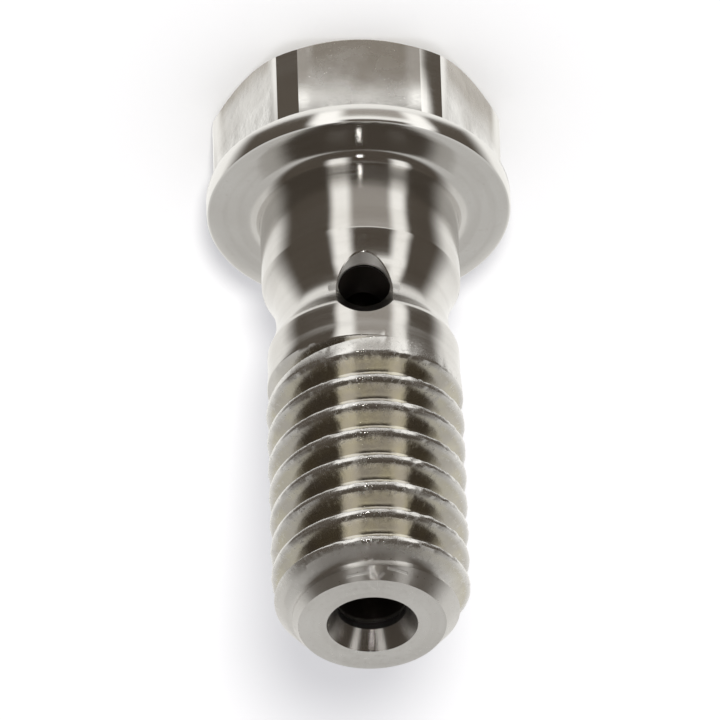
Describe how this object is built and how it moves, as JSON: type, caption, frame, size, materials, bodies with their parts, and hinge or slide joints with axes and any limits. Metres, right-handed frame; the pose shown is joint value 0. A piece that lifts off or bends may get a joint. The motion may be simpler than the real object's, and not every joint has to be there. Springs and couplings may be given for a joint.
{
  "type": "banjo bolt",
  "caption": "Small hexagon-head banjo bolt with a thin collar, a waisted shank with a cross hole, and a drilled, threaded end.",
  "frame": {"origin": "centre of the head's flat face, which the bolt stands on", "axes": "+Z along the bolt's axis, from the head to the threaded tip; +Y along the cross hole, square to two of the hexagon's flats"},
  "size_m": [0.0092, 0.0092, 0.019],
  "materials": {
    "turned_steel": "bright turned steel, with a satin head and fine turning marks on the collar's faces"
  },
  "bodies": {
    "root": {"banjo_bolt": "turned_steel"}
  },
  "joints": []
}
